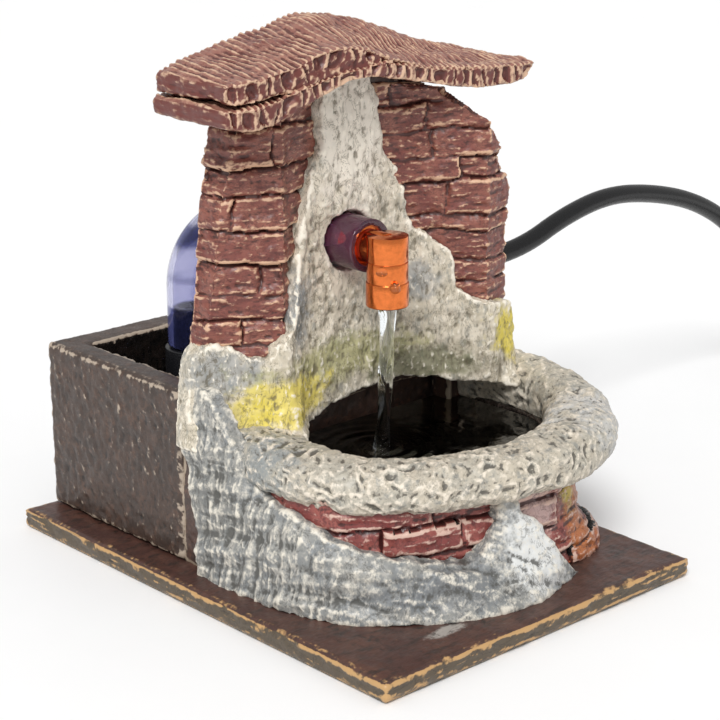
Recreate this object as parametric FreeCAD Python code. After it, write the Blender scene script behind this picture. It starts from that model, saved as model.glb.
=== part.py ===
import FreeCAD, Part
import math
import os

# Tabletop water fountain: a painted cast-resin scene (base plate, water tub, brick wall with a tiled
# roof, round basin) with a small submersible pump, a delivery hose and a turned metal spout.
# Millimetres, +Z up, +Y towards the water tub at the back, +X to the right seen from the front.
# Origin: centre of the footprint, on the surface the fountain stands on.

V = FreeCAD.Vector
os.makedirs("parts", exist_ok=True)

# ---------------------------------------------------------------- driving dimensions
base_w, base_d, base_t = 125.0, 169.0, 6.0
felt_t, felt_inset = 0.5, 3.0

tub_half_w, tub_back, tub_top = 51.5, 83.5, 60.0
tub_side_wall, tub_end_wall, tub_floor_t = 8.5, 10.0, 4.5

wall_front, wall_back = 3.0, 16.0
wall_left, wall_right, wall_top = -50.0, 54.0, 150.0
brick_foot = 64.0
facing_front = -1.0

rim_low, rim_high = 34.0, 49.0
basin_floor = 14.0
return_half_w, return_low, return_high = 12.0, 18.0, 34.0

spout_z = 100.0
hole_r = 9.4
barrel_y, barrel_r = -18.0, 6.15
barrel_low, barrel_joint, barrel_groove, barrel_high = 83.5, 90.9, 97.0, 104.6
hose_r, hose_bore_r = 8.0, 6.0
hose_front = -11.0

pump_x, pump_y, shaft_z = -15.0, 56.0, 32.0
chamber_back, chamber_joint, motor_end = -25.0, -5.0, 33.0
motor_half, motor_wall = 16.0, 2.0
hose_foot = 58.0

lead_d = 6.5
coil_x, coil_y = 306.0, -12.0
coil_outer_r, coil_inner_r, coil_h = 47.0, 24.0, 13.4

base_top = felt_t + base_t
tub_front = wall_back
tub_floor = base_top + tub_floor_t
UP, RIGHT, BACK = V(0, 0, 1), V(1, 0, 0), V(0, 1, 0)


# ---------------------------------------------------------------- helpers
def box(x0, x1, y0, y1, z0, z1):
    return Part.makeBox(x1 - x0, y1 - y0, z1 - z0, V(x0, y0, z0))


def rod(radius, start, end):
    """A round bar between two points."""
    run = V(*end) - V(*start)
    return Part.makeCylinder(radius, run.Length, V(*start), run)


def tube(outer, inner, start, end):
    return rod(outer, start, end).cut(rod(inner, start, end))


def plate_xy(points, z0, z1):
    """A prism standing on z0, with its outline given in plan."""
    loop = Part.makePolygon([V(x, y, z0) for x, y in points + points[:1]])
    return Part.Face(loop).extrude(V(0, 0, z1 - z0))


def plate_xz(points, y0, y1):
    """A prism lying along Y, with its outline given in the front view."""
    loop = Part.makePolygon([V(x, y0, z) for x, z in points + points[:1]])
    return Part.Face(loop).extrude(V(0, y1 - y0, 0))


def curved_slab(low, high, y0, y1):
    """A slab along Y whose underside and top are smooth curves through the given points."""
    lower = Part.BSplineCurve()
    lower.interpolate([V(x, y0, z) for x, z in low])
    upper = Part.BSplineCurve()
    upper.interpolate([V(x, y0, z) for x, z in high])
    ends = [Part.makeLine(lower.value(lower.LastParameter), upper.value(upper.LastParameter)),
            Part.makeLine(upper.value(upper.FirstParameter), lower.value(lower.FirstParameter))]
    loop = Part.Wire(Part.__sortEdges__([lower.toShape(), upper.toShape()] + ends))
    return Part.Face(loop).extrude(V(0, y1 - y0, 0))


def bowl_outline(x0, x1, y0, y1, corner, z0):
    """The basin's plan: straight at the back, with its two front corners rounded."""
    bulge = corner * math.cos(math.radians(45))
    edges = [
        Part.makeLine(V(x1, y1, z0), V(x0, y1, z0)),
        Part.makeLine(V(x0, y1, z0), V(x0, y0 + corner, z0)),
        Part.Arc(V(x0, y0 + corner, z0), V(x0 + corner - bulge, y0 + corner - bulge, z0),
                 V(x0 + corner, y0, z0)).toShape(),
        Part.makeLine(V(x0 + corner, y0, z0), V(x1 - corner, y0, z0)),
        Part.Arc(V(x1 - corner, y0, z0), V(x1 - corner + bulge, y0 + corner - bulge, z0),
                 V(x1, y0 + corner, z0)).toShape(),
        Part.makeLine(V(x1, y0 + corner, z0), V(x1, y1, z0)),
    ]
    return Part.Wire(edges)


def bowl_block(x0, x1, y0, y1, corner, z0, z1):
    return Part.Face(bowl_outline(x0, x1, y0, y1, corner, z0)).extrude(V(0, 0, z1 - z0))


def arc_route(points, name, radius=None):
    """Straight runs joined by tangent arcs, each arc as large as its two runs allow."""
    points = [V(*p) for p in points]
    edges, start, radii = [], points[0], []
    for before, corner, after in zip(points, points[1:], points[2:]):
        back, ahead = before - corner, after - corner
        turn = math.pi - back.getAngle(ahead)
        reach = 0.45 * min(back.Length, ahead.Length)
        bend = radius or reach / math.tan(turn / 2)
        reach = bend * math.tan(turn / 2)
        back.normalize()
        ahead.normalize()
        first, last = corner + back * reach, corner + ahead * reach
        inward = back + ahead
        inward.normalize()
        middle = corner + inward * (bend / math.cos(turn / 2) - bend)
        edges.append(Part.makeLine(start, first))
        edges.append(Part.Arc(first, middle, last).toShape())
        start = last
        radii.append(round(bend, 1))
    edges.append(Part.makeLine(start, points[-1]))
    wire = Part.Wire(edges)
    print(name, "length", round(wire.Length, 1), "bend radii", radii)
    return wire


def swept_rod(wire, radius):
    first = wire.Edges[0]
    circle = Part.makeCircle(radius, first.valueAt(first.FirstParameter),
                             first.tangentAt(first.FirstParameter))
    swept = wire.makePipeShell([Part.Wire(circle)], True, False)
    error = swept.Volume / (math.pi * radius ** 2 * wire.Length) - 1
    print("   swept volume is off by", round(100 * error, 2), "%")
    return swept


# ---------------------------------------------------------------- cast resin scene
def base_plate():
    plate = box(-base_w / 2, base_w / 2, -base_d / 2, base_d / 2, felt_t, base_top)
    return plate.makeChamfer(0.8, [e for e in plate.Edges if e.CenterOfMass.z > base_top - 0.1])


def base_felt():
    """The thin sheet glued under the base plate, which the fountain rests on."""
    x, y = base_w / 2 - felt_inset, base_d / 2 - felt_inset
    return box(-x, x, -y, y, 0, felt_t)


def return_channel():
    return box(-return_half_w, return_half_w, -5, 40, return_low, return_high)


def reservoir_tub():
    outside = box(-tub_half_w, tub_half_w, tub_front, tub_back, base_top, tub_top)
    inside = box(-tub_half_w + tub_side_wall, tub_half_w - tub_side_wall,
                 tub_front + tub_side_wall, tub_back - tub_end_wall, tub_floor, tub_top + 1)
    return outside.cut(inside).cut(return_channel())


roof_under = [(-54, 141), (-28, 144.5), (-1, 151), (22, 145.5), (42, 142.5), (66, 143)]
roof_over = [(-54, 148), (-28, 151.5), (-1, 158), (22, 153), (42, 150.5), (66, 149)]


def roof_lower_tiles():
    return curved_slab(roof_under, roof_over, -14, 23)


def roof_upper_tiles():
    top = [(-52, 156), (-28, 162), (-6, 167), (14, 163.5), (34, 155)]
    low = [(-52, 140), (34, 140)]
    sunk = curved_slab([(-54, 130), (66, 130)], roof_over, -20, 30)
    return curved_slab(low, top, -12, 22).cut(sunk)


def under_roof(shape):
    """The part of a shape that stays below the roof's underside."""
    above = curved_slab(roof_under, [(-54, 190), (66, 190)], -30, 40)
    return shape.cut(above)


left_plan = [(-53, wall_back), (-53, 12.5), (-27, -4), (-15, wall_front), (-15, 8), (-36, wall_back)]
beyond_pillar = [(-60, 17), (-53, 12.5), (-27, -4), (-60, -4)]
right_plan = [(20, wall_front), (46, -15), (59, -11), (59.5, wall_front)]


def left_brick_pillar():
    side = [(-10, brick_foot), (-48, brick_foot), (-44.3, 101), (-42.3, 119), (-39, 133), (-39, wall_top),
            (-10, wall_top)]
    return under_roof(plate_xy(left_plan, brick_foot, wall_top).common(plate_xz(side, -20, 20)))


def right_brick_pillar():
    side = [(15, brick_foot), (60, brick_foot), (60, 110), (53, 121), (50, 128), (43, 134.5), (35, 142),
            (34, wall_top), (15, wall_top)]
    return under_roof(plate_xy(right_plan, brick_foot, wall_top).common(plate_xz(side, -20, 10)))


def hose_hole():
    return rod(hole_r, (0, -20, spout_z), (0, 40, spout_z))


def basin_niche():
    """The hollow under the wall's lower lip, which the basin runs back into."""
    return box(-20, 48, facing_front - 1, 11, basin_floor, rim_high)


def wall_core():
    front = [(wall_left, base_top), (wall_right, base_top), (wall_right, 100), (48, 120), (36, 138),
             (34, wall_top), (-46, wall_top), (-48, 120)]
    core = under_roof(plate_xz(front, wall_front, wall_back)).cut(plate_xy(left_plan, rim_high, wall_top))
    core = core.cut(plate_xy(beyond_pillar, rim_high, wall_top))
    return core.cut(hose_hole()).cut(basin_niche()).cut(return_channel())


def plaster_facing():
    front = [(wall_left, rim_high), (wall_right, rim_high), (wall_right, 66), (32, 78), (20, 104),
             (15, wall_top), (-12, wall_top), (-15, 104), (-22, 76), (wall_left, 64)]
    skin = under_roof(plate_xz(front, facing_front, wall_front)).cut(hose_hole())
    skin = skin.cut(plate_xy(beyond_pillar, rim_high, wall_top))
    for plan in (left_plan, right_plan):
        skin = skin.fuse(plate_xy(plan, rim_high, brick_foot))
    return skin.cut(left_brick_pillar()).cut(right_brick_pillar()).removeSplitter()


def basin_hollow(z0, z1):
    return bowl_block(-23, 54, -48, wall_front + 1, 20, z0, z1)


def basin_bowl():
    block = bowl_block(-43, 60, -62, wall_front, 27, base_top, rim_low)
    return block.cut(basin_hollow(basin_floor, rim_low + 1))


def basin_rim():
    ring = bowl_block(-48, 68, -70, wall_front, 32, rim_low, rim_high)
    soft = [e for e in ring.Edges if e.BoundBox.ZLength < 0.01 and e.CenterOfMass.y < wall_front - 0.1]
    return ring.makeFillet(6.5, soft).cut(basin_hollow(rim_low - 1, rim_high + 1))


def plaster_apron():
    """The rendered skirt round the left and front of the basin, spreading out onto the base plate."""
    foot = bowl_outline(-55, 60, -75, wall_front, 33, base_top)
    shoulder = bowl_outline(-47, 60, -66, wall_front, 29, rim_low)
    skirt = Part.makeLoft([foot, shoulder], True, True)
    skirt = skirt.cut(bowl_block(-43, 60, -62, wall_front + 1, 27, base_top - 1, rim_low + 1))
    return skirt.cut(box(20, 80, -100, 20, 0, 60))


# ---------------------------------------------------------------- spout and hose
def spout_body():
    """Turned metal barrel with a side neck and the barbed stub that the hose is pushed onto."""
    body = rod(barrel_r, (0, barrel_y, barrel_joint), (0, barrel_y, barrel_high))
    groove = tube(barrel_r + 1, barrel_r - 0.3, (0, barrel_y, barrel_groove - 0.2),
                  (0, barrel_y, barrel_groove + 0.2))
    neck = rod(5.0, (0, barrel_y, spout_z), (0, hose_front, spout_z))
    stub = rod(5.0, (0, hose_front, spout_z), (0, 6, spout_z))
    body = body.cut(groove).fuse([neck, stub])
    for barb_front in (-9.5, -3.5):
        barb = Part.makeCone(5.95, 5.0, 4.0, V(0, barb_front, spout_z), BACK)
        body = body.fuse(barb)
    body = body.cut(rod(2.8, (0, barrel_y, spout_z), (0, 7, spout_z)))
    return body.cut(rod(4.2, (0, barrel_y, barrel_joint), (0, barrel_y, barrel_high - 2.0))).removeSplitter()


def spout_nozzle():
    """The screwed-on lower ring that the water falls from."""
    ring = tube(barrel_r + 0.2, 3.2, (0, barrel_y, barrel_low), (0, barrel_y, barrel_joint))
    spigot = tube(4.2, 3.2, (0, barrel_y, barrel_joint), (0, barrel_y, barrel_joint + 3.5))
    return ring.fuse(spigot).removeSplitter()


def delivery_hose():
    route = [(pump_x, pump_y, hose_foot), (pump_x, pump_y, 103), (0, 26, spout_z),
             (0, hose_front + 0.3, spout_z)]
    wire = arc_route(route, "delivery_hose", radius=24.0)
    return swept_rod(wire, hose_r).cut(swept_rod(wire, hose_bore_r))


# ---------------------------------------------------------------- pump
def pump_housing():
    """Motor shell: a box open at its right end, with the closed rotor well on its left wall."""
    y0, y1 = pump_y - motor_half, pump_y + motor_half
    z0, z1 = shaft_z - motor_half, shaft_z + motor_half
    shell = box(chamber_joint, motor_end, y0, y1, z0, z1)
    shell = shell.cut(box(chamber_joint + motor_wall, motor_end + 1, y0 + motor_wall, y1 - motor_wall,
                          z0 + motor_wall, z1 - motor_wall))
    shell = shell.fuse(rotor_well(7.4, 16.0))
    return shell.cut(rod(6.3, (chamber_joint - 1, pump_y, shaft_z), (14.5, pump_y, shaft_z)))


def rotor_well(radius, end):
    return rod(radius, (chamber_joint, pump_y, shaft_z), (end, pump_y, shaft_z))


def stator_core():
    """Laminated iron U: two legs along the rotor well and a yoke behind it."""
    outer = box(-2.5, 27, pump_y - 6, pump_y + 6, shaft_z - 12, shaft_z + 12)
    return outer.cut(box(-3, 23, pump_y - 7, pump_y + 7, shaft_z - 7.5, shaft_z + 7.5))


def coil_bobbin():
    """Moulded reel round the yoke, with a flange above and below the winding."""
    reel = box(21.8, 28.2, pump_y - 7.2, pump_y + 7.2, shaft_z - 7.3, shaft_z + 7.3)
    for z0, z1 in ((shaft_z - 7.3, shaft_z - 6.1), (shaft_z + 6.1, shaft_z + 7.3)):
        reel = reel.fuse(box(17.5, 31, pump_y - 11, pump_y + 11, z0, z1))
    return reel.cut(box(23, 27, pump_y - 6, pump_y + 6, shaft_z - 8, shaft_z + 8))


def stator_winding():
    turns = box(18, 30.5, pump_y - 10.5, pump_y + 10.5, shaft_z - 6.1, shaft_z + 6.1)
    return turns.cut(box(21.8, 28.2, pump_y - 7.2, pump_y + 7.2, shaft_z - 7, shaft_z + 7))


def potting_resin():
    """The resin that seals the motor: all the room left in the shell."""
    inner = motor_half - motor_wall
    fill = box(chamber_joint + motor_wall, motor_end, pump_y - inner, pump_y + inner,
               shaft_z - inner, shaft_z + inner)
    for piece in (rotor_well(7.4, 16.0), stator_core(), coil_bobbin(), stator_winding()):
        fill = fill.cut(piece)
    return fill


def rotor_shaft():
    return rod(1.0, (-23.5, pump_y, shaft_z), (14.0, pump_y, shaft_z))


def shaft_bushings():
    """Two rubber cups: one in the end of the rotor well, one in the cover's spider."""
    rear = tube(6.3, 1.0, (12.5, pump_y, shaft_z), (14.5, pump_y, shaft_z))
    front = tube(2.0, 1.0, (-24.5, pump_y, shaft_z), (-22.5, pump_y, shaft_z))
    return Part.makeCompound([rear, front])


def rotor_magnet():
    return tube(5.7, 2.4, (-3.0, pump_y, shaft_z), (11.5, pump_y, shaft_z))


def impeller():
    """Six-bladed wheel and its hub, which runs on the ceramic shaft and carries the magnet."""
    wheel = rod(10.2, (-8.0, pump_y, shaft_z), (-6.5, pump_y, shaft_z))
    wheel = wheel.fuse(rod(2.4, (-19.5, pump_y, shaft_z), (11.5, pump_y, shaft_z)))
    for step in range(6):
        blade = box(-18.5, -8.0, pump_y + 1.5, pump_y + 10.2, shaft_z - 0.5, shaft_z + 0.5)
        blade.rotate(V(0, pump_y, shaft_z), RIGHT, 60 * step)
        wheel = wheel.fuse(blade)
    return wheel.cut(rod(1.05, (-20, pump_y, shaft_z), (12, pump_y, shaft_z))).removeSplitter()


def chamber_cover():
    """Impeller chamber with the inlet eye, the shaft's front spider and the outlet nozzle."""
    cover = box(chamber_back, chamber_joint, pump_y - 13.5, pump_y + 13.5, shaft_z - 14, shaft_z + 14)
    cover = cover.fuse(rod(9.0, (pump_x, pump_y, 44), (pump_x, pump_y, hose_foot - 0.5)))
    cover = cover.fuse(rod(5.9, (pump_x, pump_y, 44), (pump_x, pump_y, 71)))
    cover = cover.cut(rod(11.3, (chamber_back + 3, pump_y, shaft_z), (chamber_joint, pump_y, shaft_z)))
    eye = tube(6.0, 3.2, (chamber_back - 1, pump_y, shaft_z), (chamber_back + 4, pump_y, shaft_z))
    spokes = [box(chamber_back, chamber_back + 3, pump_y - 6, pump_y + 6, shaft_z - 0.7, shaft_z + 0.7),
              box(chamber_back, chamber_back + 3, pump_y - 0.7, pump_y + 0.7, shaft_z - 6, shaft_z + 6)]
    for spoke in spokes:
        eye = eye.cut(spoke)
    cover = cover.cut(eye).cut(rod(4.0, (pump_x, pump_y, 38), (pump_x, pump_y, 72)))
    return cover.cut(rod(2.0, (chamber_back - 1, pump_y, shaft_z), (-22.0, pump_y, shaft_z))).removeSplitter()


def intake_cover():
    """Slotted cap over the inlet, with a hub for the flow dial."""
    cap = box(-33, chamber_back, pump_y - 13.5, pump_y + 13.5, shaft_z - 14, shaft_z + 14)
    cap = cap.cut(box(-31, chamber_back, pump_y - 11.5, pump_y + 11.5, shaft_z - 12, shaft_z + 12))
    for step in range(6):
        slot = box(-34, -30, pump_y + 4.5, pump_y + 8.5, shaft_z - 0.9, shaft_z + 0.9)
        slot.rotate(V(0, pump_y, shaft_z), RIGHT, 60 * step)
        cap = cap.cut(slot)
    return cap.fuse(rod(2.0, (-36.2, pump_y, shaft_z), (-32, pump_y, shaft_z))).removeSplitter()


def flow_dial():
    """Slotted disc that turns on the intake cover's hub and shuts its slots off."""
    dial = tube(9.6, 2.06, (-35.6, pump_y, shaft_z), (-33.3, pump_y, shaft_z))
    for step in range(6):
        slot = box(-37, -33, pump_y + 4.5, pump_y + 8.5, shaft_z - 0.9, shaft_z + 0.9)
        slot.rotate(V(0, pump_y, shaft_z), RIGHT, 60 * step)
        dial = dial.cut(slot)
    return dial.fuse(box(-38.2, -35.6, pump_y - 0.8, pump_y + 0.8, shaft_z + 4.0, shaft_z + 9.2)).removeSplitter()


def filter_sponge():
    return box(-30.5, -25.5, pump_y - 11, pump_y + 11, shaft_z - 11.5, shaft_z + 11.5)


def suction_cups():
    cups = []
    for x in (0, 26):
        for y in (pump_y - 10, pump_y + 10):
            cup = Part.makeCone(4.8, 2.0, 3.4, V(x, y, tub_floor))
            cups.append(cup.fuse(rod(1.6, (x, y, tub_floor + 3.0), (x, y, shaft_z - motor_half))))
    return Part.makeCompound(cups)


# ---------------------------------------------------------------- mains lead
gland_foot = V(25.0, 52.0, shaft_z + motor_half)
gland_way = V(0.60, -0.28, 0.75).normalize()
gland_length = 13.0
lead_exit = gland_foot + gland_way * gland_length

lead_route = [
    tuple(lead_exit), (43.5, 43.5, 68), (61, 36.5, 73), (82, 30, 72), (104, 25.5, 74.5), (124, 24, 83),
    (147, 24, 87), (171, 24, 84), (195, 24, 77.5), (217, 24, 66), (237, 25, 48), (252, 27, 28),
    (270, 29.5, 12), (290, 31, 4.2), (coil_x - 2, 30.8, 3.3),
]
tail_route = [(coil_x + 2, 31.6, 9.9), (coil_x + 16, 31.0, 9.0), (coil_x + 33, 28.5, 6.4), (coil_x + 50, 24, 6.4)]
plug_foot = V(coil_x + 50, 24, 6.4)
plug_way = V(17, -4.5, 0).normalize()


def lead_gland():
    """Tapered sleeve where the lead leaves the motor, leaning towards the tub's right rim."""
    sleeve = Part.makeCone(5.2, 4.2, gland_length + 3, gland_foot - gland_way * 3, gland_way)
    sleeve = sleeve.cut(box(10, 40, 30, 75, shaft_z, shaft_z + motor_half))
    flange = rod(6.2, (25, 52, shaft_z + motor_half), (25, 52, shaft_z + motor_half + 2))
    return sleeve.fuse(flange).removeSplitter()


def mains_lead():
    return swept_rod(arc_route(lead_route, "mains_lead"), lead_d / 2)


def lead_tail():
    return swept_rod(arc_route(tail_route, "lead_tail"), lead_d / 2)


def lead_coil():
    ring = tube(coil_outer_r, coil_inner_r, (coil_x, coil_y, 0), (coil_x, coil_y, coil_h))
    return ring.makeFillet(3.2, [e for e in ring.Edges if e.BoundBox.ZLength < 0.01])


def coil_tie():
    """Reusable strap closed round the coil's turns."""
    far, near, web = coil_y - coil_outer_r, coil_y - coil_inner_r + 0.9, 1.2
    outer = box(coil_x - 6, coil_x + 6, far - web, near + web, 0, coil_h + web)
    return outer.cut(box(coil_x - 7, coil_x + 7, far, near, -1, coil_h))


def plug_frame(shape):
    """Turns a piece drawn along +X to lie along the plug, from where the lead enters it."""
    placed = shape.copy()
    placed.rotate(V(0, 0, 0), UP, math.degrees(math.atan2(plug_way.y, plug_way.x)))
    placed.translate(plug_foot)
    return placed


def plug_sleeve():
    return plug_frame(Part.makeCone(lead_d / 2 + 0.9, 5.6, 22, V(0, 0, 0), RIGHT))


def plug_body():
    """Flat two-pin plug, waisted for the fingers."""
    half = [(22, 6), (28, 10.5), (44, 13), (52, 13), (57, 11)]
    outline = half + [(x, -y) for x, y in reversed(half)]
    body = plate_xy(outline, -6.4, 6.4)
    body = body.makeFillet(2.0, [e for e in body.Edges if e.BoundBox.ZLength < 0.01])
    return plug_frame(body)


def plug_pins():
    pins = []
    for y in (-9.3, 9.3):
        pin = rod(2.0, (57, y, 0), (75, y, 0))
        tip = [e for e in pin.Edges if e.CenterOfMass.x > 74.9 and e.BoundBox.YLength > 1]
        pins.append(plug_frame(pin.makeFillet(1.2, tip)))
    return Part.makeCompound(pins)


# ---------------------------------------------------------------- write every node
nodes = [
    base_plate, base_felt, reservoir_tub, wall_core, plaster_facing, left_brick_pillar,
    right_brick_pillar, roof_lower_tiles, roof_upper_tiles, basin_bowl, basin_rim, plaster_apron,
    spout_body, spout_nozzle, delivery_hose, pump_housing, stator_core, coil_bobbin, stator_winding,
    potting_resin, rotor_shaft, shaft_bushings, rotor_magnet, impeller, chamber_cover, intake_cover,
    flow_dial, filter_sponge, suction_cups, lead_gland, mains_lead, lead_coil, coil_tie, lead_tail,
    plug_sleeve, plug_body, plug_pins,
]
for make in nodes:
    shape = make()
    bad = not shape.isValid() or not shape.Solids or any(s.Volume < 1 for s in shape.Solids)
    print(make.__name__, len(shape.Solids), "solids", round(shape.Volume / 1000, 2), "cm3", "BAD" if bad else "")
    shape.exportStep("parts/" + make.__name__ + ".step")
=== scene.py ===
import math

import bpy
import numpy as np
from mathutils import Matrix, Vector, noise


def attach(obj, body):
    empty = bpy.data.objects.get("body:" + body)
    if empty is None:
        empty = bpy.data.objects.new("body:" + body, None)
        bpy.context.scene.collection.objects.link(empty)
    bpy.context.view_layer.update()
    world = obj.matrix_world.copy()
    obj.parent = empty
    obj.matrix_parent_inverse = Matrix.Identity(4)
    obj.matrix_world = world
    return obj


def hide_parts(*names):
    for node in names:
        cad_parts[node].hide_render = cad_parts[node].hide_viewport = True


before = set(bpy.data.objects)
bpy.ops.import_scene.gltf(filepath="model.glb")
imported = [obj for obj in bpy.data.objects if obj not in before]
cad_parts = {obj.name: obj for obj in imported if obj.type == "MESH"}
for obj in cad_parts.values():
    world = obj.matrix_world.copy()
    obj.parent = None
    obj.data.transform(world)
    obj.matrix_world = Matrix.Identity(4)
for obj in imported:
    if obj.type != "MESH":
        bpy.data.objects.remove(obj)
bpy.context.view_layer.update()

mm = 0.001
bpy.ops.object.select_all(action="DESELECT")
bpy.context.scene.view_settings.view_transform = "Standard"

# ---------------------------------------------------------------- camera
# Looks down on the fountain from the front left, about 0.6 m away, with a long lens.
bpy.ops.object.camera_add(location=(-0.3918, -0.4339, 0.2467),
                          rotation=(math.radians(72.5008), 0, math.radians(-42.4885)))
camera = bpy.context.object
camera.data.lens = 101.17
camera.data.sensor_width = 36
bpy.context.scene.camera = camera


# ---------------------------------------------------------------- mains lead
# Black PVC flex, 6.5 mm thick and about 1.5 m long. It leaves the motor, goes over the tub's right rim in
# a stiff arch, comes down to the table and is put away there as a coil of five turns that ends in the plug.
def add_node(tree, kind, inputs=(), **settings):
    """Adds a shader node. An input is a number, a colour, or the output of another node."""
    made = tree.nodes.new("ShaderNode" + kind)
    for setting, value in settings.items():
        setattr(made, setting, value)
    for name, value in dict(inputs).items():
        if isinstance(value, bpy.types.NodeSocket):
            tree.links.new(value, made.inputs[name])
        else:
            made.inputs[name].default_value = value
    return made


def rgb(red, green, blue):
    """A colour given as 0 to 255 on a paint chart, as the shader wants it."""
    return [((part / 255 + 0.055) / 1.055) ** 2.4 if part > 10 else part / 3295 for part in
            (red, green, blue)] + [1.0]


def grain(tree, size, detail=3.0, roughness=0.6, stretch=(1, 1, 1), twist=0.0):
    """Noise from 0 to 1 whose spots are about size millimetres across, longer along a stretched axis."""
    place = add_node(tree, "TexCoord").outputs["Object"]
    scaled = add_node(tree, "Mapping", {"Vector": place, "Scale": [1000 / size / s for s in stretch]})
    return add_node(tree, "TexNoise", {"Vector": scaled.outputs[0], "Scale": 1.0, "Detail": detail,
                                       "Roughness": roughness, "Distortion": twist}).outputs[0]


def edge(tree, value, low, high, top=1.0):
    """Turns a value into 0 below low and top above high."""
    return add_node(tree, "MapRange", {"Value": value, "From Min": low, "From Max": high, "To Max": top},
                    interpolation_type="SMOOTHSTEP").outputs[0]


def blend(tree, amount, first, second, mode="MIX"):
    """Lays the second colour over the first."""
    return add_node(tree, "Mix", {0: amount, 6: first, 7: second}, data_type="RGBA",
                    blend_type=mode).outputs[2]


def bump(tree, height, depth, strength=1.0):
    """Surface relief too fine for the mesh, depth millimetres deep."""
    return add_node(tree, "Bump", {"Height": height, "Distance": depth * mm,
                                   "Strength": strength}).outputs[0]


def finish(name, **sockets):
    """A new material and its node tree, with the shader's own sockets set."""
    material = bpy.data.materials.new(name)
    material.use_nodes = True
    shader = material.node_tree.nodes["Principled BSDF"]
    for socket, value in sockets.items():
        shader.inputs[socket.replace("_", " ")].default_value = value
    return material, material.node_tree, shader


def smooth_plastic(name, colour, roughness, size=0.8):
    """Moulded or extruded plastic: faint mottling, and a shine broken by a fine grain."""
    material, tree, shader = finish(name)
    spots = grain(tree, size)
    colour = rgb(*colour)
    deeper = [part * 0.72 for part in colour[:3]] + [1.0]
    tree.links.new(blend(tree, spots, colour, deeper), shader.inputs["Base Color"])
    tree.links.new(edge(tree, spots, 0, 1, roughness * 1.6), shader.inputs["Roughness"])
    tree.links.new(bump(tree, spots, 0.04, 0.5), shader.inputs["Normal"])
    return material


lead_d = 6.5
lead_pvc = smooth_plastic("black_pvc", (6, 6, 8), 0.34)
arch = [(32.80, 48.36, 57.75), (43.5, 43.5, 68), (61, 36.5, 73), (82, 30, 72), (104, 25.5, 74.5),
        (124, 24, 83), (147, 24, 87), (171, 24, 84), (195, 24, 77.5), (217, 24, 66), (237, 25, 48),
        (252, 27, 28), (270, 29.5, 12), (290, 31, 4.2), (304, 30.8, 3.3)]
tail = [(308, 31.6, 9.9), (322, 31.0, 9.0), (339, 28.5, 6.4), (356, 24, 6.4)]
coil_x, coil_y, points_a_turn, turns = 306, -12, 16, 5
turns_at, radii = (0, 1, 2, 2.5, 2.8, 3, 4, 5), (42.6, 36.0, 29.3, 26.6, 29, 31, 37.6, 44.2)
coil = []
for step in range(1, points_a_turn * turns):
    turn = step / points_a_turn
    angle = math.radians(90 - 360 * turn)
    radius = np.interp(turn, turns_at, radii)
    height = np.interp(turn, (2.25, 2.8), (3.3, 9.9))
    coil.append((coil_x + radius * math.cos(angle), coil_y + radius * math.sin(angle), height))

curve = bpy.data.curves.new("flex", "CURVE")
curve.dimensions = "3D"
curve.bevel_depth = lead_d / 2 * mm
curve.bevel_resolution = 6
curve.resolution_u = 8
curve.use_fill_caps = True
line = curve.splines.new("NURBS")
route = arch + coil + tail
line.points.add(len(route) - 1)
for point, place in zip(line.points, route):
    point.co = (*(Vector(place) * mm), 1)
line.order_u = 3
line.use_endpoint_u = True
lead = bpy.data.objects.new("lead", curve)
bpy.context.scene.collection.objects.link(lead)
lead.data.materials.append(lead_pvc)
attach(lead, "root")
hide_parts("mains_lead", "lead_coil", "lead_tail")


# ---------------------------------------------------------------- plug, strain reliefs and coil tie
# Moulded two-pin plug with nickel-plated pins on the lead's end, the tapered sleeves at both of its ends,
# and the strap that holds the put-away turns together.
def node_copy(node, name):
    """The CAD node's mesh under a new name, with its doubled points merged."""
    piece = bpy.data.objects.new(name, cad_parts[node].data.copy())
    bpy.context.scene.collection.objects.link(piece)
    bpy.context.view_layer.objects.active = piece
    bpy.ops.object.mode_set(mode="EDIT")
    bpy.ops.mesh.select_all(action="SELECT")
    bpy.ops.mesh.remove_doubles(threshold=0.00001)
    bpy.ops.object.mode_set(mode="OBJECT")
    return piece


def bevelled_copy(node, body, material, width=0.3, segments=2):
    """A rigid piece with the CAD node's shape and small rounded edges, which stands for that node."""
    piece = node_copy(node, node + "_skin")
    if width:
        apply_modifier(piece, "BEVEL", width=width * mm, segments=segments, limit_method="ANGLE",
                       angle_limit=math.radians(35), use_clamp_overlap=True, harden_normals=False)
    smooth_sides(piece)
    piece.data.materials.clear()
    piece.data.materials.append(material)
    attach(piece, body)
    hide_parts(node)
    return piece


def apply_modifier(piece, kind, **settings):
    """Adds one modifier to a piece, sets it and applies it."""
    bpy.context.view_layer.objects.active = piece
    modifier = piece.modifiers.new(kind, kind)
    for setting, value in settings.items():
        setattr(modifier, setting, value)
    bpy.ops.object.modifier_apply(modifier=modifier.name)


def smooth_sides(piece, angle=35):
    """Shades a piece smooth except across its sharp edges."""
    bpy.ops.object.select_all(action="DESELECT")
    piece.select_set(True)
    bpy.context.view_layer.objects.active = piece
    bpy.ops.object.shade_smooth_by_angle(angle=math.radians(angle))
    piece.select_set(False)


def metal(name, colour, roughness, turned=0.0):
    """Bare or coated metal with a fine turned grain round the vertical axis."""
    material, tree, shader = finish(name, Metallic=1.0)
    rings = grain(tree, 0.35, stretch=(6, 6, 0.25))
    dust = grain(tree, 2.0)
    colour = rgb(*colour)
    deeper = [part * 0.8 for part in colour[:3]] + [1.0]
    tree.links.new(blend(tree, edge(tree, dust, 0.35, 0.75), colour, deeper), shader.inputs["Base Color"])
    tree.links.new(edge(tree, dust, 0.0, 1.0, roughness * 2), shader.inputs["Roughness"])
    tree.links.new(bump(tree, rings, 0.02, turned), shader.inputs["Normal"])
    return material


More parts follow.
